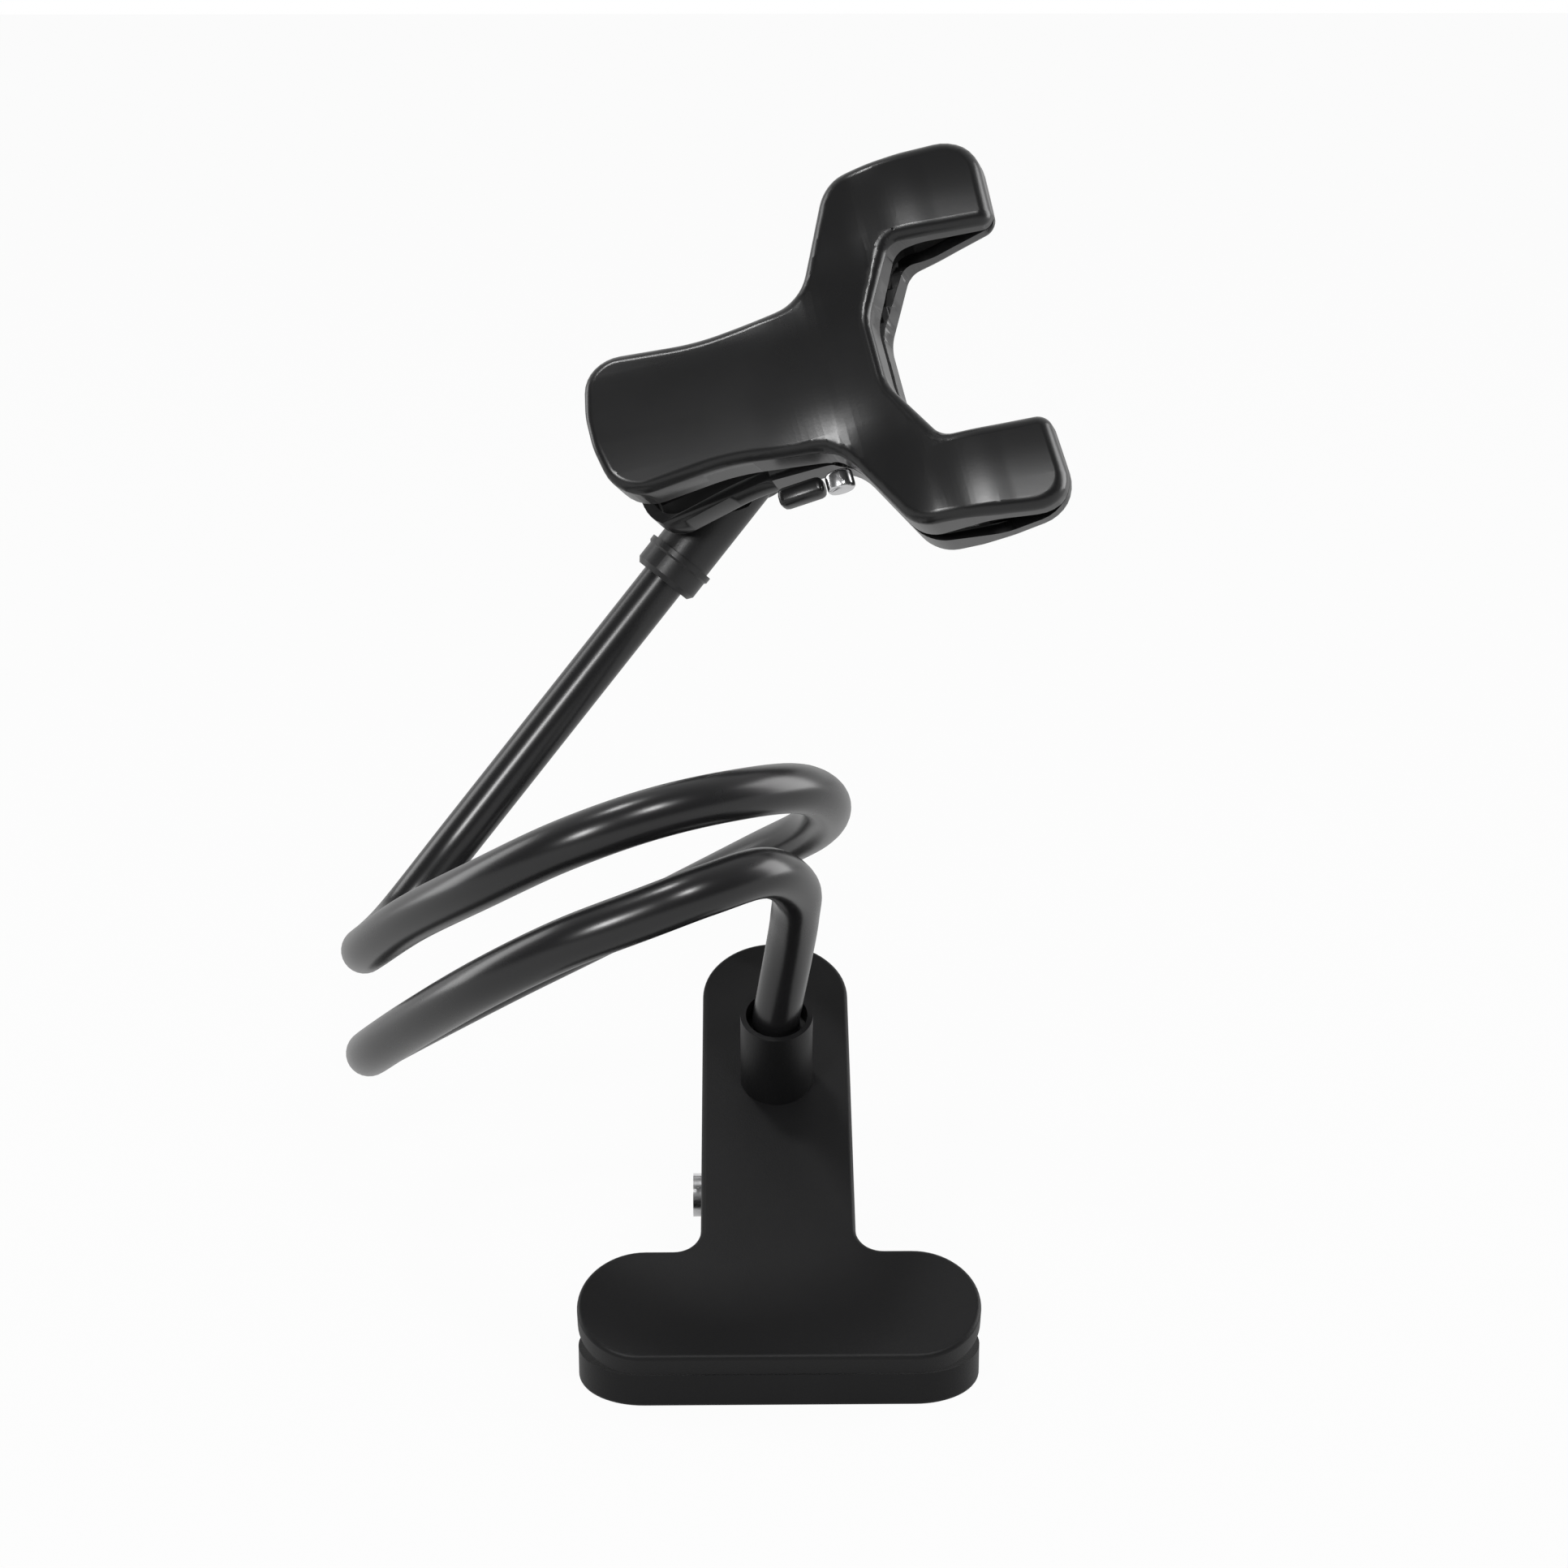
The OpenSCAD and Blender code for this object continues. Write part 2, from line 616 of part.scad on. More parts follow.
// A pair of hinge ears at y = +-inner, each clip_ear_t thick, from the skin to the pin
module clip_ears(inner) {
    for (y = [inner, -inner - clip_ear_t]) along_y(y, y + clip_ear_t) {
        circle(r = clip_ear_r);
        polygon([
            [-clip_ear_r, 0], [clip_ear_r, 0],
            [clip_ear_r + 1.5, pivot_t - 0.2], [-clip_ear_r - 1.5, pivot_t - 0.2]
        ]);
    }
}
module clip_bore() {
    along_y(-span_w, span_w) circle(r = clip_pin_r + run_gap);
}

module near_jaw() {
    color([0.1, 0.1, 0.11])
    in_clip() difference() {
        union() {
            jaw_shell();
            clip_ears(near_ear_y);
        }
        clip_bore();
    }
}

module far_jaw() {
    skin_in = jaw_z(eye_u) - jaw_wall;
    color([0.1, 0.1, 0.11])
    in_clip() difference() {
        union() {
            mirror([0, 0, 1]) {
                jaw_shell();
                clip_ears(far_ear_y);
            }
            translate([eye_u, 0, -boss_end]) cylinder(r = boss_r, h = boss_end - skin_in - 0.2);
        }
        clip_bore();
        translate([eye_u, 0, -boss_end - through]) cylinder(r = swivel_hole_r, h = boss_end);
        translate([eye_u, 0, -skin_in - nut_t - seat_gap])
            cylinder(r = (nut_af + 0.2) / sqrt(3), h = nut_t + 3, $fn = 6);
    }
}

module clip_pin() {
    color([0.75, 0.76, 0.78])
    in_clip() rotate([90, 0, 0]) {
        translate([0, 0, -clip_pin_half]) cylinder(r = clip_pin_r, h = 2 * clip_pin_half);
        translate([0, 0, clip_pin_half - seat_gap]) cylinder(r = clip_pin_r + 0.7, h = clip_head_t);
    }
}

module clip_pin_retainer() {
    color([0.55, 0.56, 0.58])
    in_clip() translate([0, clip_pin_half, 0]) rotate([90, 0, 0])
        push_cap(clip_pin_r + 0.7, clip_pin_r + seat_gap, 0.5, clip_cap_len);
}

// Double torsion spring: two coils on the pin, a bridge behind the near jaw and two legs on the far jaw
module clip_spring() {
    leg_u = 13;
    leg_y = coil_y + clip_wire_r;
    leg_z = jaw_z(-leg_u) - jaw_wall - clip_wire_r - 0.2;
    start = clip_leg_angle;
    coil = coil_points(clip_coil_r, -start, start + 720, leg_y, clip_pitch, 24);
    turns = [for (p = coil) [p[0], p[1], -p[2]]];
    side = concat(
        [[2, -leg_u - 1, leg_z], [leg_y - 2, -leg_u - 1, leg_z], [leg_y, -leg_u, leg_z - 0.4]],
        turns,
        [[leg_y + 1, -leg_u, -leg_z]]
    );
    right = [for (p = side) [p[1], p[0], p[2]]];
    left = [for (i = [len(right) - 1 : -1 : 0]) [right[i][0], -right[i][1], right[i][2]]];
    color([0.75, 0.76, 0.78])
    in_clip() rod_along(concat(left, right), clip_wire_r, 8);
}

// Rubber pad inside a finger tip of the near jaw on the +y side, in the clip's frame
pad_len = 15.5;
module finger_pad() {
    plan = inset(jaw_corners, jaw_wall + 0.15);
    wide = span_w / 2;
    difference() {
        intersection() {
            translate([0, 0, lip_gap / 2]) linear_extrude(end_t) polygon(rounded(plan));
            translate([finger_reach - pad_len, fork_w / 2, lip_gap / 2])
                cube([finger_reach, span_w / 2 - fork_w / 2, end_t]);
            along_y(0, wide) under_face(jaw_wall + seat_gap);
        }
        along_y(-wide, wide) under_face(jaw_wall + 3);
    }
}

module near_upper_pad() {
    color([0.08, 0.08, 0.08]) in_clip() finger_pad();
}
module near_lower_pad() {
    color([0.08, 0.08, 0.08]) in_clip() mirror([0, 1, 0]) finger_pad();
}
module far_upper_pad() {
    color([0.08, 0.08, 0.08]) in_clip() mirror([0, 0, 1]) finger_pad();
}
module far_lower_pad() {
    color([0.08, 0.08, 0.08]) in_clip() mirror([0, 0, 1]) mirror([0, 1, 0]) finger_pad();
}

base_lower_half();
base_upper_half();
base_lower_pad();
base_upper_pad();
base_pin();
base_pin_retainer();
base_spring();
arm_foot_ferrule();
arm_foot_screw();
arm_sheath();
arm_core();
arm_top_ferrule();
collar_nut();
swivel_sleeve();
swivel_screw();
swivel_washer();
swivel_nut();
far_jaw();
near_jaw();
clip_pin();
clip_pin_retainer();
clip_spring();
far_upper_pad();
far_lower_pad();
near_upper_pad();
near_lower_pad();
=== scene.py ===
import math

import bmesh
import bpy
from mathutils import Matrix, Vector


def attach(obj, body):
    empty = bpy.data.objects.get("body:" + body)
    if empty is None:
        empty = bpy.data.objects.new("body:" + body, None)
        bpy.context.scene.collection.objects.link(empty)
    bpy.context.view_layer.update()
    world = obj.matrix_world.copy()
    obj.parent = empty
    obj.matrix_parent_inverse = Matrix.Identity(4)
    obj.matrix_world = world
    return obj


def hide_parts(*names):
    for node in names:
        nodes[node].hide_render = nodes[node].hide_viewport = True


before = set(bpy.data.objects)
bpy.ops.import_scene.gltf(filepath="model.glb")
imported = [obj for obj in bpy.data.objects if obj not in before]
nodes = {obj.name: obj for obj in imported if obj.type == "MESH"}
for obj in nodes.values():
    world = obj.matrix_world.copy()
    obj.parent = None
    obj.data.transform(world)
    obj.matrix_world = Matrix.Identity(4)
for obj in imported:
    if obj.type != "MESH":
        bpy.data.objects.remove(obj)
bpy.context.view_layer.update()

scene = bpy.context.scene
scene.view_settings.view_transform = "Standard"


# The studio: a long lens a little above the middle of the arm, looking down 18 degrees, a pale floor,
# soft panels, and a room that is white behind the object and dark behind the camera. The camera sees
# floor and room as white paper, with the shadow kept.
camera_tilt, camera_turn = math.radians(72), math.radians(-0.74)
camera_data = bpy.data.cameras.new("photo_camera")
camera_data.sensor_width = 36
camera_data.lens = 72.67
camera = bpy.data.objects.new("photo_camera", camera_data)
camera.location = (-0.00546, -0.51916, 0.2659)
camera.rotation_euler = (camera_tilt, 0, camera_turn)
scene.collection.objects.link(camera)
scene.camera = camera


def softbox(name, place, aim, width, height, watts):
    """Hangs one rectangular light panel at a place, facing a point."""
    panel = bpy.data.lights.new(name, "AREA")
    panel.shape = "RECTANGLE"
    panel.size = width
    panel.size_y = height
    panel.energy = watts
    lamp = bpy.data.objects.new(name, panel)
    lamp.location = place
    lamp.rotation_euler = (Vector(aim) - Vector(place)).to_track_quat("-Z", "Y").to_euler()
    scene.collection.objects.link(lamp)
    return lamp


clip_middle = (0, 0.05, 0.15)
holder_middle = (0, 0.02, 0.1)
softbox("panel_front_top", (0.2, -0.69, 0.8), clip_middle, 0.16, 0.16, 3.6)
softbox("panel_low_left", (-0.4, -0.78, 0.5), clip_middle, 0.18, 0.18, 4.2)
softbox("panel_top_left", (-0.3, 0.02, 1.1), holder_middle, 0.14, 0.14, 2.5)
softbox("panel_right_side", (0.9, 0.25, 0.3), holder_middle, 0.5, 0.9, 7)
softbox("panel_left_side", (-0.9, 0.35, 0.25), holder_middle, 0.4, 0.9, 4)

room_fill = 0.2
dark_side, white_side = 0.1, 0.95
room = bpy.data.worlds.new("studio_room")
room.use_nodes = True
scene.world = room
tree = room.node_tree
tree.nodes.clear()
rays = tree.nodes.new("ShaderNodeLightPath")
seen = tree.nodes.new("ShaderNodeMath")
seen.operation = "MAXIMUM"
tree.links.new(rays.outputs["Is Camera Ray"], seen.inputs[0])
tree.links.new(rays.outputs["Is Transmission Ray"], seen.inputs[1])
toward = tree.nodes.new("ShaderNodeTexCoord")
parts = tree.nodes.new("ShaderNodeSeparateXYZ")
tree.links.new(toward.outputs["Generated"], parts.inputs[0])
depth = tree.nodes.new("ShaderNodeMapRange")
depth.inputs["From Min"].default_value = -0.3
depth.inputs["From Max"].default_value = 0.9
depth.inputs["To Min"].default_value = dark_side
depth.inputs["To Max"].default_value = white_side
tree.links.new(parts.outputs["Y"], depth.inputs["Value"])
mirrored = tree.nodes.new("ShaderNodeMix")
mirrored.inputs["A"].default_value = room_fill
tree.links.new(rays.outputs["Is Glossy Ray"], mirrored.inputs["Factor"])
tree.links.new(depth.outputs["Result"], mirrored.inputs["B"])
strength = tree.nodes.new("ShaderNodeMath")
strength.operation = "MAXIMUM"
tree.links.new(seen.outputs[0], strength.inputs[0])
tree.links.new(mirrored.outputs["Result"], strength.inputs[1])
sky = tree.nodes.new("ShaderNodeBackground")
sky.inputs["Color"].default_value = (1, 1, 1, 1)
tree.links.new(strength.outputs[0], sky.inputs["Strength"])
room_out = tree.nodes.new("ShaderNodeOutputWorld")
tree.links.new(sky.outputs[0], room_out.inputs["Surface"])

floor_half, floor_gap = 3, 0.0001
paper_tone = 0.45
camera_glow, mirror_glow = 0.96, 0.5
floor_mesh = bpy.data.meshes.new("studio_floor")
bm = bmesh.new()
bmesh.ops.create_grid(bm, x_segments=1, y_segments=1, size=floor_half)
bmesh.ops.translate(bm, verts=bm.verts, vec=(0, 0, -floor_gap))
bm.to_mesh(floor_mesh)
bm.free()
studio_floor = bpy.data.objects.new("studio_floor", floor_mesh)
scene.collection.objects.link(studio_floor)
paper = bpy.data.materials.new("floor_paper")
paper.use_nodes = True
tree = paper.node_tree
skin = tree.nodes["Principled BSDF"]
skin.inputs["Base Color"].default_value = (paper_tone, paper_tone, paper_tone, 1)
skin.inputs["Roughness"].default_value = 0.9
skin.inputs["Specular IOR Level"].default_value = 0.1
rays = tree.nodes.new("ShaderNodeLightPath")
glow = tree.nodes.new("ShaderNodeEmission")
share = tree.nodes.new("ShaderNodeMath")
share.operation = "MULTIPLY"
share.inputs[1].default_value = camera_glow
gleam = tree.nodes.new("ShaderNodeMath")
gleam.operation = "MULTIPLY_ADD"
gleam.inputs[1].default_value = mirror_glow
tree.links.new(rays.outputs["Is Glossy Ray"], gleam.inputs[0])
tree.links.new(share.outputs[0], gleam.inputs[2])
mix = tree.nodes.new("ShaderNodeMixShader")
tree.links.new(rays.outputs["Is Camera Ray"], share.inputs[0])
tree.links.new(gleam.outputs[0], mix.inputs["Fac"])
tree.links.new(skin.outputs[0], mix.inputs[1])
tree.links.new(glow.outputs[0], mix.inputs[2])
tree.links.new(mix.outputs[0], tree.nodes["Material Output"].inputs["Surface"])
floor_mesh.materials.append(paper)


# The clamp's two halves: moulded in black plastic with a fine satin grain, each a thin plate with a
# rim and hinge ears. They are the CAD shapes with the softly rounded edges that the mould leaves.
def build_grain():
    """Shader group of a moulded surface: fine grain, faint clouding, and rubbed patches."""
    group = bpy.data.node_groups.new("moulded_grain", "ShaderNodeTree")
    for label, value in (("Grain Scale", 2500.0), ("Cloud Scale", 60.0), ("Roughness", 0.4),
                         ("Variation", 0.08), ("Depth", 0.1)):
        socket = group.interface.new_socket(label, in_out="INPUT", socket_type="NodeSocketFloat")
        socket.default_value = value
    for label, kind in (("Roughness", "NodeSocketFloat"), ("Cloud", "NodeSocketFloat"),
                        ("Normal", "NodeSocketVector")):
        group.interface.new_socket(label, in_out="OUTPUT", socket_type=kind)
    given = group.nodes.new("NodeGroupInput")
    made = group.nodes.new("NodeGroupOutput")
    place = group.nodes.new("ShaderNodeTexCoord")
    grain = group.nodes.new("ShaderNodeTexNoise")
    grain.inputs["Detail"].default_value = 3
    cloud = group.nodes.new("ShaderNodeTexNoise")
    cloud.inputs["Detail"].default_value = 5
    cloud.inputs["Roughness"].default_value = 0.6
    bump = group.nodes.new("ShaderNodeBump")
    bump.inputs["Distance"].default_value = 0.0001
    spread = group.nodes.new("ShaderNodeMath")
    spread.operation = "MULTIPLY_ADD"
    centred = group.nodes.new("ShaderNodeMath")
    centred.operation = "SUBTRACT"
    centred.inputs[1].default_value = 0.5
    link = group.links.new
    link(place.outputs["Object"], grain.inputs["Vector"])
    link(place.outputs["Object"], cloud.inputs["Vector"])
    link(given.outputs["Grain Scale"], grain.inputs["Scale"])
    link(given.outputs["Cloud Scale"], cloud.inputs["Scale"])
    link(grain.outputs["Fac"], bump.inputs["Height"])
    link(given.outputs["Depth"], bump.inputs["Strength"])
    link(cloud.outputs["Fac"], centred.inputs[0])
    link(centred.outputs[0], spread.inputs[0])
    link(given.outputs["Variation"], spread.inputs[1])
    link(given.outputs["Roughness"], spread.inputs[2])
    link(spread.outputs[0], made.inputs["Roughness"])
    link(cloud.outputs["Fac"], made.inputs["Cloud"])
    link(bump.outputs["Normal"], made.inputs["Normal"])
    return group


moulded_grain = build_grain()


def grained(name, dark, light, rough, depth, grain, cloud, variation=0.08, metal=0.0, specular=0.5):
    """A material whose colour clouds between two tones over the moulded grain."""
    finish = bpy.data.materials.new(name)
    finish.use_nodes = True
    tree = finish.node_tree
    surface = tree.nodes["Principled BSDF"]
    surface.inputs["Metallic"].default_value = metal
    surface.inputs["Specular IOR Level"].default_value = specular
    texture = tree.nodes.new("ShaderNodeGroup")
    texture.node_tree = moulded_grain
    texture.inputs["Grain Scale"].default_value = grain
    texture.inputs["Cloud Scale"].default_value = cloud
    texture.inputs["Roughness"].default_value = rough
    texture.inputs["Variation"].default_value = variation
    texture.inputs["Depth"].default_value = depth
    tone = tree.nodes.new("ShaderNodeMix")
    tone.data_type = "RGBA"
    factor, tone_a, tone_b = tone.inputs[0], tone.inputs[6], tone.inputs[7]
    tone_a.default_value = (*dark, 1)
    tone_b.default_value = (*light, 1)
    tree.links.new(texture.outputs["Cloud"], factor)
    tree.links.new(tone.outputs[2], surface.inputs["Base Color"])
    tree.links.new(texture.outputs["Roughness"], surface.inputs["Roughness"])
    tree.links.new(texture.outputs["Normal"], surface.inputs["Normal"])
    return finish


def rounded_copy(name, node, body, finish, radius, steps, picks, shape=None):
    """Copies a CAD node's shape, rounds the edges that picks() names and lets it stand for the node."""
    bm = bmesh.new()
    bm.from_mesh(nodes[node].data)
    bmesh.ops.remove_doubles(bm, verts=bm.verts, dist=1e-6)
    bmesh.ops.dissolve_limit(bm, angle_limit=math.radians(0.3), use_dissolve_boundaries=False,
                             verts=bm.verts, edges=bm.edges, delimit=set())
    bm.normal_update()
    edges = [e for e in bm.edges if len(e.link_faces) == 2 and e.is_convex and picks(e)]
    bmesh.ops.bevel(bm, geom=edges, offset=radius, offset_type="OFFSET", segments=steps, profile=0.5,
                    affect="EDGES", clamp_overlap=False, material=-1)
    if shape:
        shape(bm)
    bmesh.ops.remove_doubles(bm, verts=bm.verts, dist=1e-6)
    bmesh.ops.recalc_face_normals(bm, faces=bm.faces)
    mesh = bpy.data.meshes.new(name)
    for face in bm.faces:
        face.smooth = True
    bm.to_mesh(mesh)
    bm.free()
    mesh.materials.append(finish)
    piece = bpy.data.objects.new(name, mesh)
    scene.collection.objects.link(piece)
    mesh.set_sharp_from_angle(angle=math.radians(35))
    weights = piece.modifiers.new("even_shading", "WEIGHTED_NORMAL")
    weights.keep_sharp = True
    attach(piece, body)
    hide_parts(node)
    return piece


def edge_angle(edge):
    return edge.calc_face_angle(0)


satin_black = grained("satin_black_shell", (0.005, 0.005, 0.0053), (0.009, 0.009, 0.0095), 0.46,
                      depth=0.25, grain=3200, cloud=45, specular=0.2)
clamp_lean = math.radians(25)
upper_normal = Vector((0, -math.sin(clamp_lean), math.cos(clamp_lean)))
clamp_lip = Vector((0, -0.042, 0.0062))
clamp_corner = math.radians(70)
flat_top = 0.98
below_socket = 0.0049
foot_level = 1e-4


def upper_top_edge(edge):
    """Picks the long edge round the upper half's outer face, and leaves out the arm's socket."""
    faces = [f.normal.dot(upper_normal) for f in edge.link_faces]
    height = max((v.co - clamp_lip).dot(upper_normal) for v in edge.verts)
    return edge_angle(edge) > clamp_corner and max(faces) > flat_top and height < below_socket


def lower_foot_edge(edge):
    """Picks the edge round the lower half's flat face."""
    return edge_angle(edge) > clamp_corner and max(v.co.z for v in edge.verts) < foot_level


clamp_top_round, clamp_foot_round, clamp_round_steps = 0.0009, 0.0008, 4
rounded_copy("clamp_upper_half", "base_upper_half", "base_upper", satin_black,
             clamp_top_round, clamp_round_steps, upper_top_edge)
rounded_copy("clamp_lower_half", "base_lower_half", "base_lower", satin_black,
             clamp_foot_round, clamp_round_steps, lower_foot_edge)


# The clip's two jaws: glossy black mouldings of Y shape, hollow behind, with wide soft edges. The far
# jaw carries the boss that the swivel screw holds.
gloss_black = grained("gloss_black_shell", (0.004, 0.004, 0.0043), (0.008, 0.008, 0.0084), 0.28,
                      depth=0.05, grain=1800, cloud=35, variation=0.06)

# The clip's own axes: along it towards the finger tips, across it, and out of the near jaw's face.
clip_pin_at = Vector((0.008584, 0.047047, 0.15692))
clip_axes = Matrix(((0.9323, -0.2312, -0.2782), (-0.1178, 0.5332, -0.8378), (0.342, 0.8138, 0.4698)))
clip_out = clip_axes.col[2]
clip_along = clip_axes.col[0]
clip_across = clip_axes.col[1]


def jaw_outer_edge(side):
    """Picks the edge between a jaw's outer face and its side wall; side is 1 for the near jaw."""
    jaw_corner = math.radians(50)
    facing_out, facing_aside = 0.8, 0.4
    above_rim = 0.0025

    def picks(edge):
        tilt = [f.normal.dot(clip_out) * side for f in edge.link_faces]
        place = (edge.verts[0].co - clip_pin_at).dot(clip_out) * side
        return (edge_angle(edge) > jaw_corner and max(tilt) > facing_out
                and abs(min(tilt)) < facing_aside and place > above_rim)
    return picks


# The skin of a jaw, in millimetres: its height over the pin, its slopes along handle, arm and finger,
# and the knuckle's place. Then how far its bends are eased in the moulding and in the plain shape, how
# it bows towards the side edges of neck and prongs, how the fingers swell, and where it is cut finer.
pin_skin = 8.6
handle_slope, arm_slope, finger_slope = -0.2125, 0.143, -0.43
knuckle_at = 19.9
valley_ease, plain_valley_ease = 12, 5.3
knuckle_ease, plain_knuckle_ease = 7.5, 3.4
soft_depth, soft_fade, skin_lift = 3.6, 2, 0.3
neck_half, neck_bow = 14, 1.3
prong_middle, prong_half, prong_bow = 27.5, 9, 0.7
neck_end, neck_fade = 2, 14
tip_swell, swell_reach = 0.5, 6
finger_start, finger_grow, tip_start = 10, 16, 30
cuts_along, cuts_across = range(-14, 31), range(-36, 37, 3)


def ramp(value, start, reach):
    """Rises from 0 at the start to 1 over a reach."""
    return min(max((value - start) / reach, 0), 1)


def skin_height(along):
    """Height of a jaw's skin over the pin, with its corners still sharp."""
    if along < 0:
        return pin_skin + handle_slope * along
    return pin_skin + arm_slope * min(along, knuckle_at) + finger_slope * max(along - knuckle_at, 0)


def eased(along, corner, slope_in, slope_out, reach):
    """How far a bend eased over a reach lies from its sharp corner."""
    if abs(along - corner) >= reach:
        return 0
    return (slope_out - slope_in) * (reach - abs(along - corner)) ** 2 / (4 * reach)


def softened(side):
    """Eases the bends of a jaw's skin and bows it towards its side edges; side is 1 for the near jaw."""
    cuts = [(clip_along, k) for k in cuts_along] + [(clip_across, k) for k in cuts_across]

    def shape(bm):
        for normal, k in cuts:
            bmesh.ops.bisect_plane(bm, geom=bm.verts[:] + bm.edges[:] + bm.faces[:], dist=1e-6,
                                   plane_co=clip_pin_at + normal * (k / 1000), plane_no=normal)
        for vert in bm.verts:
            place = (vert.co - clip_pin_at) * 1000
            along, across, out = place.dot(clip_along), place.dot(clip_across), place.dot(clip_out) * side
            lift = ramp(out, skin_height(along) - soft_depth, soft_fade)
            rise = eased(along, 0, handle_slope, arm_slope, valley_ease)
            rise -= eased(along, 0, handle_slope, arm_slope, plain_valley_ease)
            rise += eased(along, knuckle_at, arm_slope, finger_slope, knuckle_ease)
            rise -= eased(along, knuckle_at, arm_slope, finger_slope, plain_knuckle_ease)
            blend = ramp(along, neck_end, neck_fade)
            bow = neck_bow * min(abs(across) / neck_half, 1) ** 3 * (1 - blend)
            bow += prong_bow * min(abs(abs(across) - prong_middle) / prong_half, 1) ** 2 * blend
            vert.co += clip_out * side * lift * (rise - bow + skin_lift) / 1000
            outward = ramp(abs(across), prong_middle, swell_reach) * ramp(along, finger_start, finger_grow)
            vert.co += clip_across * math.copysign(tip_swell * outward, across) / 1000
            vert.co += clip_along * tip_swell * ramp(along, tip_start, swell_reach) / 1000
    return shape


jaw_round, jaw_round_steps = 0.002, 6
rounded_copy("clip_near_jaw", "near_jaw", "near_jaw", gloss_black,
             jaw_round, jaw_round_steps, jaw_outer_edge(1), softened(1))
rounded_copy("clip_far_jaw", "far_jaw", "far_jaw", gloss_black,
             jaw_round, jaw_round_steps, jaw_outer_edge(-1), softened(-1))


# The arm: a bendable metal rod in a smooth shiny plastic sleeve, bent by hand into two loose loops.
# One round tube follows the rod's route from the socket's floor to the swivel, and leans a little to
# the right of it on the loops' right side, as the photographed arm does.
sheath_gloss = grained("arm_sheath_gloss", (0.007, 0.007, 0.0074), (0.012, 0.012, 0.0126), 0.27,
                       depth=0.0, grain=400, cloud=30)


def smooth_wire(name, stations, radius, body, node, finish, ring=6, steps=6):
    """A round rod along a smooth curve whose first and last stations only steer it."""
    curve = bpy.data.curves.new(name, "CURVE")
    curve.dimensions = "3D"
    curve.bevel_depth = radius
    curve.bevel_resolution = ring
    curve.resolution_u = steps
    curve.use_fill_caps = True
    line = curve.splines.new("BEZIER")
    line.bezier_points.add(len(stations) - 3)
    for k, spot in enumerate(line.bezier_points):
        before, here, after = stations[k], stations[k + 1], stations[k + 2]
        reach = (after - before) / 6
        spot.handle_left_type = spot.handle_right_type = "FREE"
        spot.co, spot.handle_left, spot.handle_right = here, here - reach, here + reach
    shaped = bpy.data.objects.new(name + "_line", curve)
    scene.collection.objects.link(shaped)
    mesh = bpy.data.meshes.new_from_object(shaped.evaluated_get(bpy.context.evaluated_depsgraph_get()))
    bpy.data.objects.remove(shaped)
    mesh.name = name
    bm = bmesh.new()
    bm.from_mesh(mesh)
    bmesh.ops.remove_doubles(bm, verts=bm.verts, dist=1e-7)
    bmesh.ops.recalc_face_normals(bm, faces=bm.faces)
    for face in bm.faces:
        face.smooth = True
    bm.to_mesh(mesh)
    bm.free()
    mesh.materials.clear()
    mesh.materials.append(finish)
    mesh.set_sharp_from_angle(angle=math.radians(50))
    piece = bpy.data.objects.new(name, mesh)
    scene.collection.objects.link(piece)
    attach(piece, body)
    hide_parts(node)
    return piece


socket_foot = Vector((0, 12.742, 36.692))
socket_mouth = Vector((0, 5.558, 52.099))
swivel_eye = Vector((-3.2, 70.358, 138.299))
strand = Vector((0.62346, 0.21461, 0.75183))
arm_bends = [
    (0.6, -7, 14), (1.6, -14, 24), (1.4, -22, 32), (-3.4, -34, 39), (-12.1, -41.9, 39),
    (-21.8, -44.7, 36), (-35.5, -43.5, 30), (-49.4, -35.4, 20), (-62.7, -18.2, 6), (-72.9, 2.9, -8),
    (-73.6, 25, -16), (-64.8, 38.8, -16), (-50.3, 46.7, -11), (-34.3, 47.5, -3), (-18.6, 43.2, 7),
    (-4.1, 32.1, 19), (5.3, 15.9, 30), (7.1, -1.1, 40), (2.1, -17, 48), (-8.7, -29.9, 51),
    (-21.4, -36.7, 50), (-35.4, -37.5, 45), (-49.3, -30.4, 36), (-62.7, -14.2, 24), (-72.9, 5.9, 11),
    (-74.9, 22, 5),
]
socket_steps = (-8, 4.05, 14)
arm_stations = [socket_foot + step * upper_normal for step in socket_steps] + [socket_mouth]
right_lean, lean_start, lean_reach = 1.6, -25, 30
for bend in arm_bends:
    lean = Vector((right_lean * ramp(bend[0], lean_start, lean_reach), 0, 0))
    arm_stations.append(socket_mouth + Vector(bend) + lean)
strand_steps, sleeve_end = (110, 90, 70, 50, 30), 12.5
arm_stations += [swivel_eye - step * strand for step in strand_steps]
arm_stations += [swivel_eye - sleeve_end * strand, swivel_eye]
sleeve_radius = 0.00425
smooth_wire("arm_sleeve", [p / 1000 for p in arm_stations], sleeve_radius, "base_upper", "arm_sheath",
            sheath_gloss, ring=12, steps=8)


# Both springs: round steel wire wound on the hinge pins, bright from the drawing die. The clamp's one
# has a leg on each half, and the clip's is a double spring with a bridge behind the near jaw.
spring_steel = grained("spring_steel", (0.55, 0.55, 0.56), (0.72, 0.72, 0.73), 0.22, depth=0.08,
                       grain=1500, cloud=300, variation=0.1, metal=1.0)


def coil(radius, start, finish, first, pitch, step=24):
    """Stations of a coil round the X axis, in millimetres."""
    pieces = math.ceil((finish - start) / step)
    spots = []
    for k in range(pieces + 1):
        angle = start + (finish - start) * k / pieces
        spots.append(Vector((first + pitch * (angle - start) / 360,
                             radius * math.cos(math.radians(angle)),
                             radius * math.sin(math.radians(angle)))))
    return spots


def steered(stations):
    """Adds a steering station beyond each end of a route."""
    return [2 * stations[0] - stations[1], *stations, 2 * stations[-1] - stations[-2]]


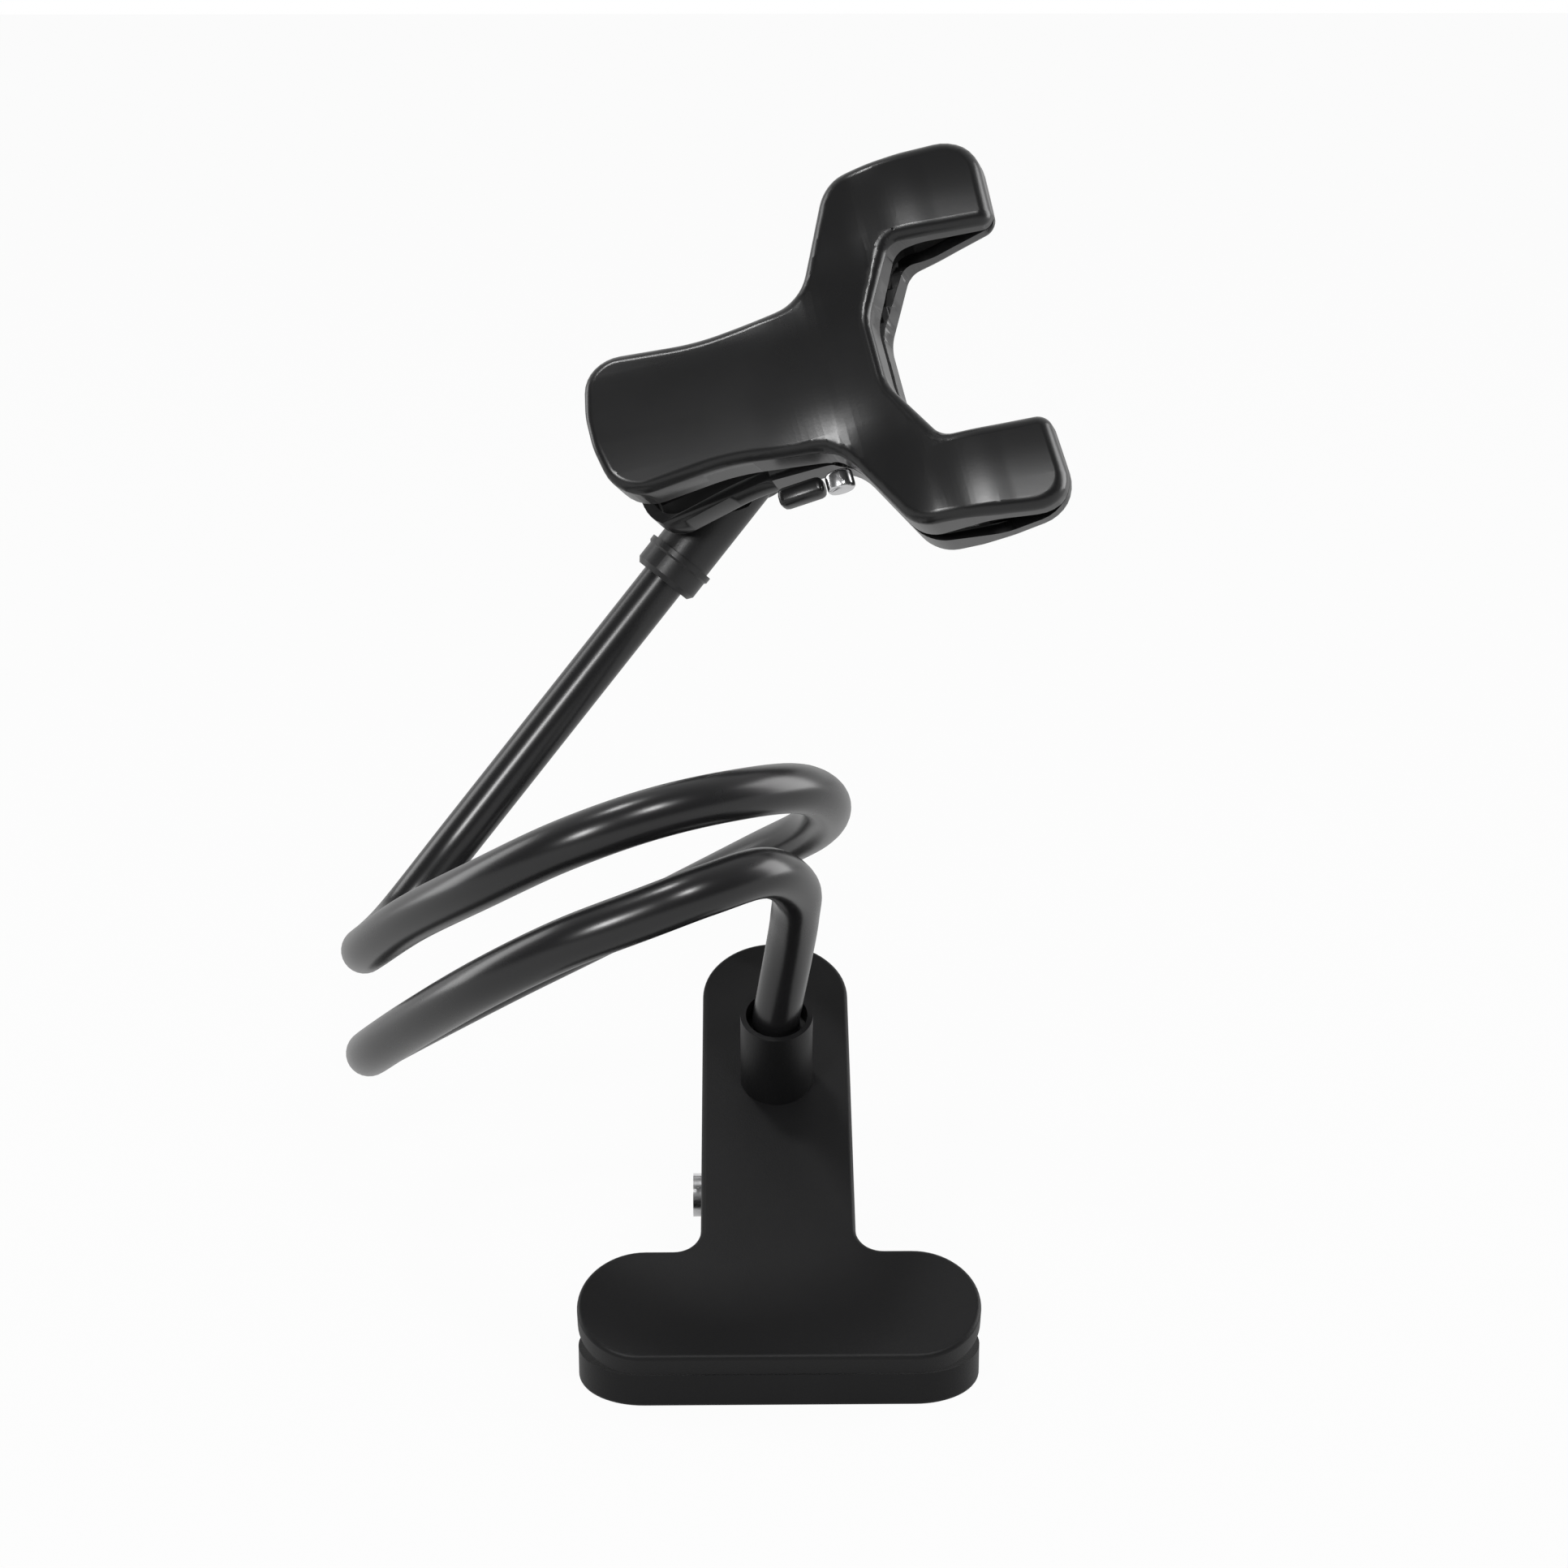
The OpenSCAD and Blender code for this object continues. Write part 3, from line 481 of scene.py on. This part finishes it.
clamp_pin_z = 19.5
lip_y, lip_z = 42, 6.2
clamp_rim, clamp_wall, spring_gap = 4.5, 2.2, 0.2
clamp_wire, clamp_coil = 0.9, 3.25
full_turn, whole_turns = 360, 5
coil_from, coil_to = 130, 230 + full_turn * whole_turns
clamp_pitch = 2 * clamp_wire + 0.15
coil_start = -clamp_pitch * (coil_to - coil_from) / (2 * full_turn)
clamp_turns = coil(clamp_coil, coil_from, coil_to, coil_start, clamp_pitch)
pin_height = (clamp_pin_z - lip_z) * math.cos(clamp_lean) - lip_y * math.sin(clamp_lean)
upper_room = clamp_rim - clamp_wall - pin_height - clamp_wire - spring_gap
upper_slope = math.radians(15)
upper_leg = (upper_room - clamp_coil * math.cos(upper_slope)) / math.sin(upper_slope)
lower_room = clamp_pin_z - clamp_wall - clamp_wire - spring_gap
lower_slope = math.radians(40)
lower_leg = (lower_room - clamp_coil * math.cos(lower_slope)) / math.sin(lower_slope)
from_angle = math.radians(coil_from)
upper_way = Vector((0, math.sin(from_angle), -math.cos(from_angle)))
lower_way = Vector((0, math.cos(lower_slope), -math.sin(lower_slope)))
clamp_route = [clamp_turns[0] + upper_leg * upper_way, *clamp_turns,
               clamp_turns[-1] + lower_leg * lower_way]
clamp_route = [p + Vector((0, 0, clamp_pin_z)) for p in clamp_route]
smooth_wire("clamp_spring", [p / 1000 for p in steered(clamp_route)], clamp_wire / 1000, "base_lower",
            "base_spring", spring_steel, ring=4, steps=3)


clip_wire, clip_coil = 0.7, 2.5
leg_angle = 68
leg_along = 13
coil_side = 4.6
jaw_wall = 2
bridge_half, bridge_step, bridge_drop = 2, 1, 0.4
leg_side = coil_side + clip_wire
leg_height = skin_height(-leg_along) - jaw_wall - clip_wire - spring_gap
wound = coil(clip_coil, -leg_angle, leg_angle + 2 * full_turn, leg_side, 2 * clip_wire + spring_gap)
half = [Vector((bridge_half, -leg_along - bridge_step, leg_height)),
        Vector((leg_side - bridge_half, -leg_along - bridge_step, leg_height)),
        Vector((leg_side, -leg_along, leg_height - bridge_drop))]
half += [Vector((p.x, p.y, -p.z)) for p in wound]
half += [Vector((leg_side + bridge_step, -leg_along, -leg_height))]
clip_route = [Vector((p.y, -p.x, p.z)) for p in reversed(half)]
clip_route += [Vector((p.y, p.x, p.z)) for p in half]
clip_route = [clip_pin_at + clip_axes @ (p / 1000) for p in clip_route]
smooth_wire("clip_spring_wire", steered(clip_route), clip_wire / 1000, "far_jaw", "clip_spring",
            spring_steel, ring=4, steps=3)


# What shows of the clip's hinge below the near jaw: a dark moulded lug and the pin's bright zinc plated
# end beside it, both carried by the far jaw. Their edges are rounded, and they sit in the clip's axes.
bright_zinc = grained("bright_zinc_plate", (0.62, 0.62, 0.63), (0.78, 0.78, 0.79), 0.24, depth=0.08,
                      grain=2200, cloud=260, variation=0.14, metal=1.0)


def pin_side_piece(name, centre, size, finish, corner, around=0):
    """A rounded block, or a round stub of so many sides around, in the clip's axes in millimetres."""
    bm = bmesh.new()
    if around:
        bmesh.ops.create_cone(bm, cap_ends=True, segments=around, radius1=0.5, radius2=0.5, depth=1,
                              matrix=Matrix.Rotation(math.pi / 2, 4, "X"))
    else:
        bmesh.ops.create_cube(bm, size=1)
    bmesh.ops.scale(bm, vec=size, verts=bm.verts)
    sharp = [e for e in bm.edges if e.calc_face_angle(0) > math.radians(50)]
    bmesh.ops.bevel(bm, geom=sharp, offset=corner, offset_type="OFFSET", segments=3, profile=0.5,
                    affect="EDGES", clamp_overlap=True, material=-1)
    for vert in bm.verts:
        vert.co = clip_pin_at + clip_axes @ ((vert.co + Vector(centre)) / 1000)
    bmesh.ops.recalc_face_normals(bm, faces=bm.faces)
    mesh = bpy.data.meshes.new(name)
    for face in bm.faces:
        face.smooth = True
    bm.to_mesh(mesh)
    bm.free()
    mesh.materials.append(finish)
    mesh.set_sharp_from_angle(angle=math.radians(40))
    piece = bpy.data.objects.new(name, mesh)
    scene.collection.objects.link(piece)
    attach(piece, "far_jaw")
    return piece


pin_side_piece("clip_hinge_lug", (-8.5, -17.2, -1.6), (8.6, 3.6, 4.2), gloss_black,
               1.2)
pin_side_piece("clip_pin_end", (-1.2, -17.5, -1.2), (5.2, 3.8, 4.2), bright_zinc, 0.8,
               around=24)


# The parts whose plain shape already is the real one get only a finish: the turned and pressed steel of
# pins, screws, nut and caps, the rubber pads, and the plastic of sleeve, collar and ferrules.
cap_steel = grained("pressed_cap_steel", (0.42, 0.42, 0.43), (0.58, 0.58, 0.58), 0.34, depth=0.12,
                    grain=1800, cloud=220, variation=0.14, metal=1.0)
drawn_rod = grained("drawn_soft_rod", (0.62, 0.63, 0.64), (0.74, 0.75, 0.76), 0.4, depth=0.15,
                    grain=1200, cloud=200, variation=0.12, metal=1.0)
pad_rubber = grained("black_pad_rubber", (0.014, 0.014, 0.014), (0.026, 0.026, 0.026), 0.78, depth=0.5,
                     grain=2600, cloud=120, variation=0.12, specular=0.25)
collar_black = grained("collar_black", (0.008, 0.008, 0.0084), (0.014, 0.014, 0.0147), 0.36, depth=0.12,
                       grain=2800, cloud=70, variation=0.08, specular=0.45)
node_finishes = (
    (bright_zinc, ("base_pin", "arm_foot_screw", "swivel_screw", "swivel_washer", "swivel_nut", "clip_pin")),
    (cap_steel, ("base_pin_retainer", "clip_pin_retainer")),
    (drawn_rod, ("arm_core",)),
    (pad_rubber, ("base_lower_pad", "base_upper_pad", "far_upper_pad", "far_lower_pad", "near_upper_pad",
                  "near_lower_pad")),
    (collar_black, ("arm_foot_ferrule", "arm_top_ferrule", "collar_nut", "swivel_sleeve")),
)
for finish, names in node_finishes:
    for node_name in names:
        node = nodes[node_name]
        if not node.data.materials:
            node.data.materials.append(finish)
        for holder in node.material_slots:
            holder.material = finish
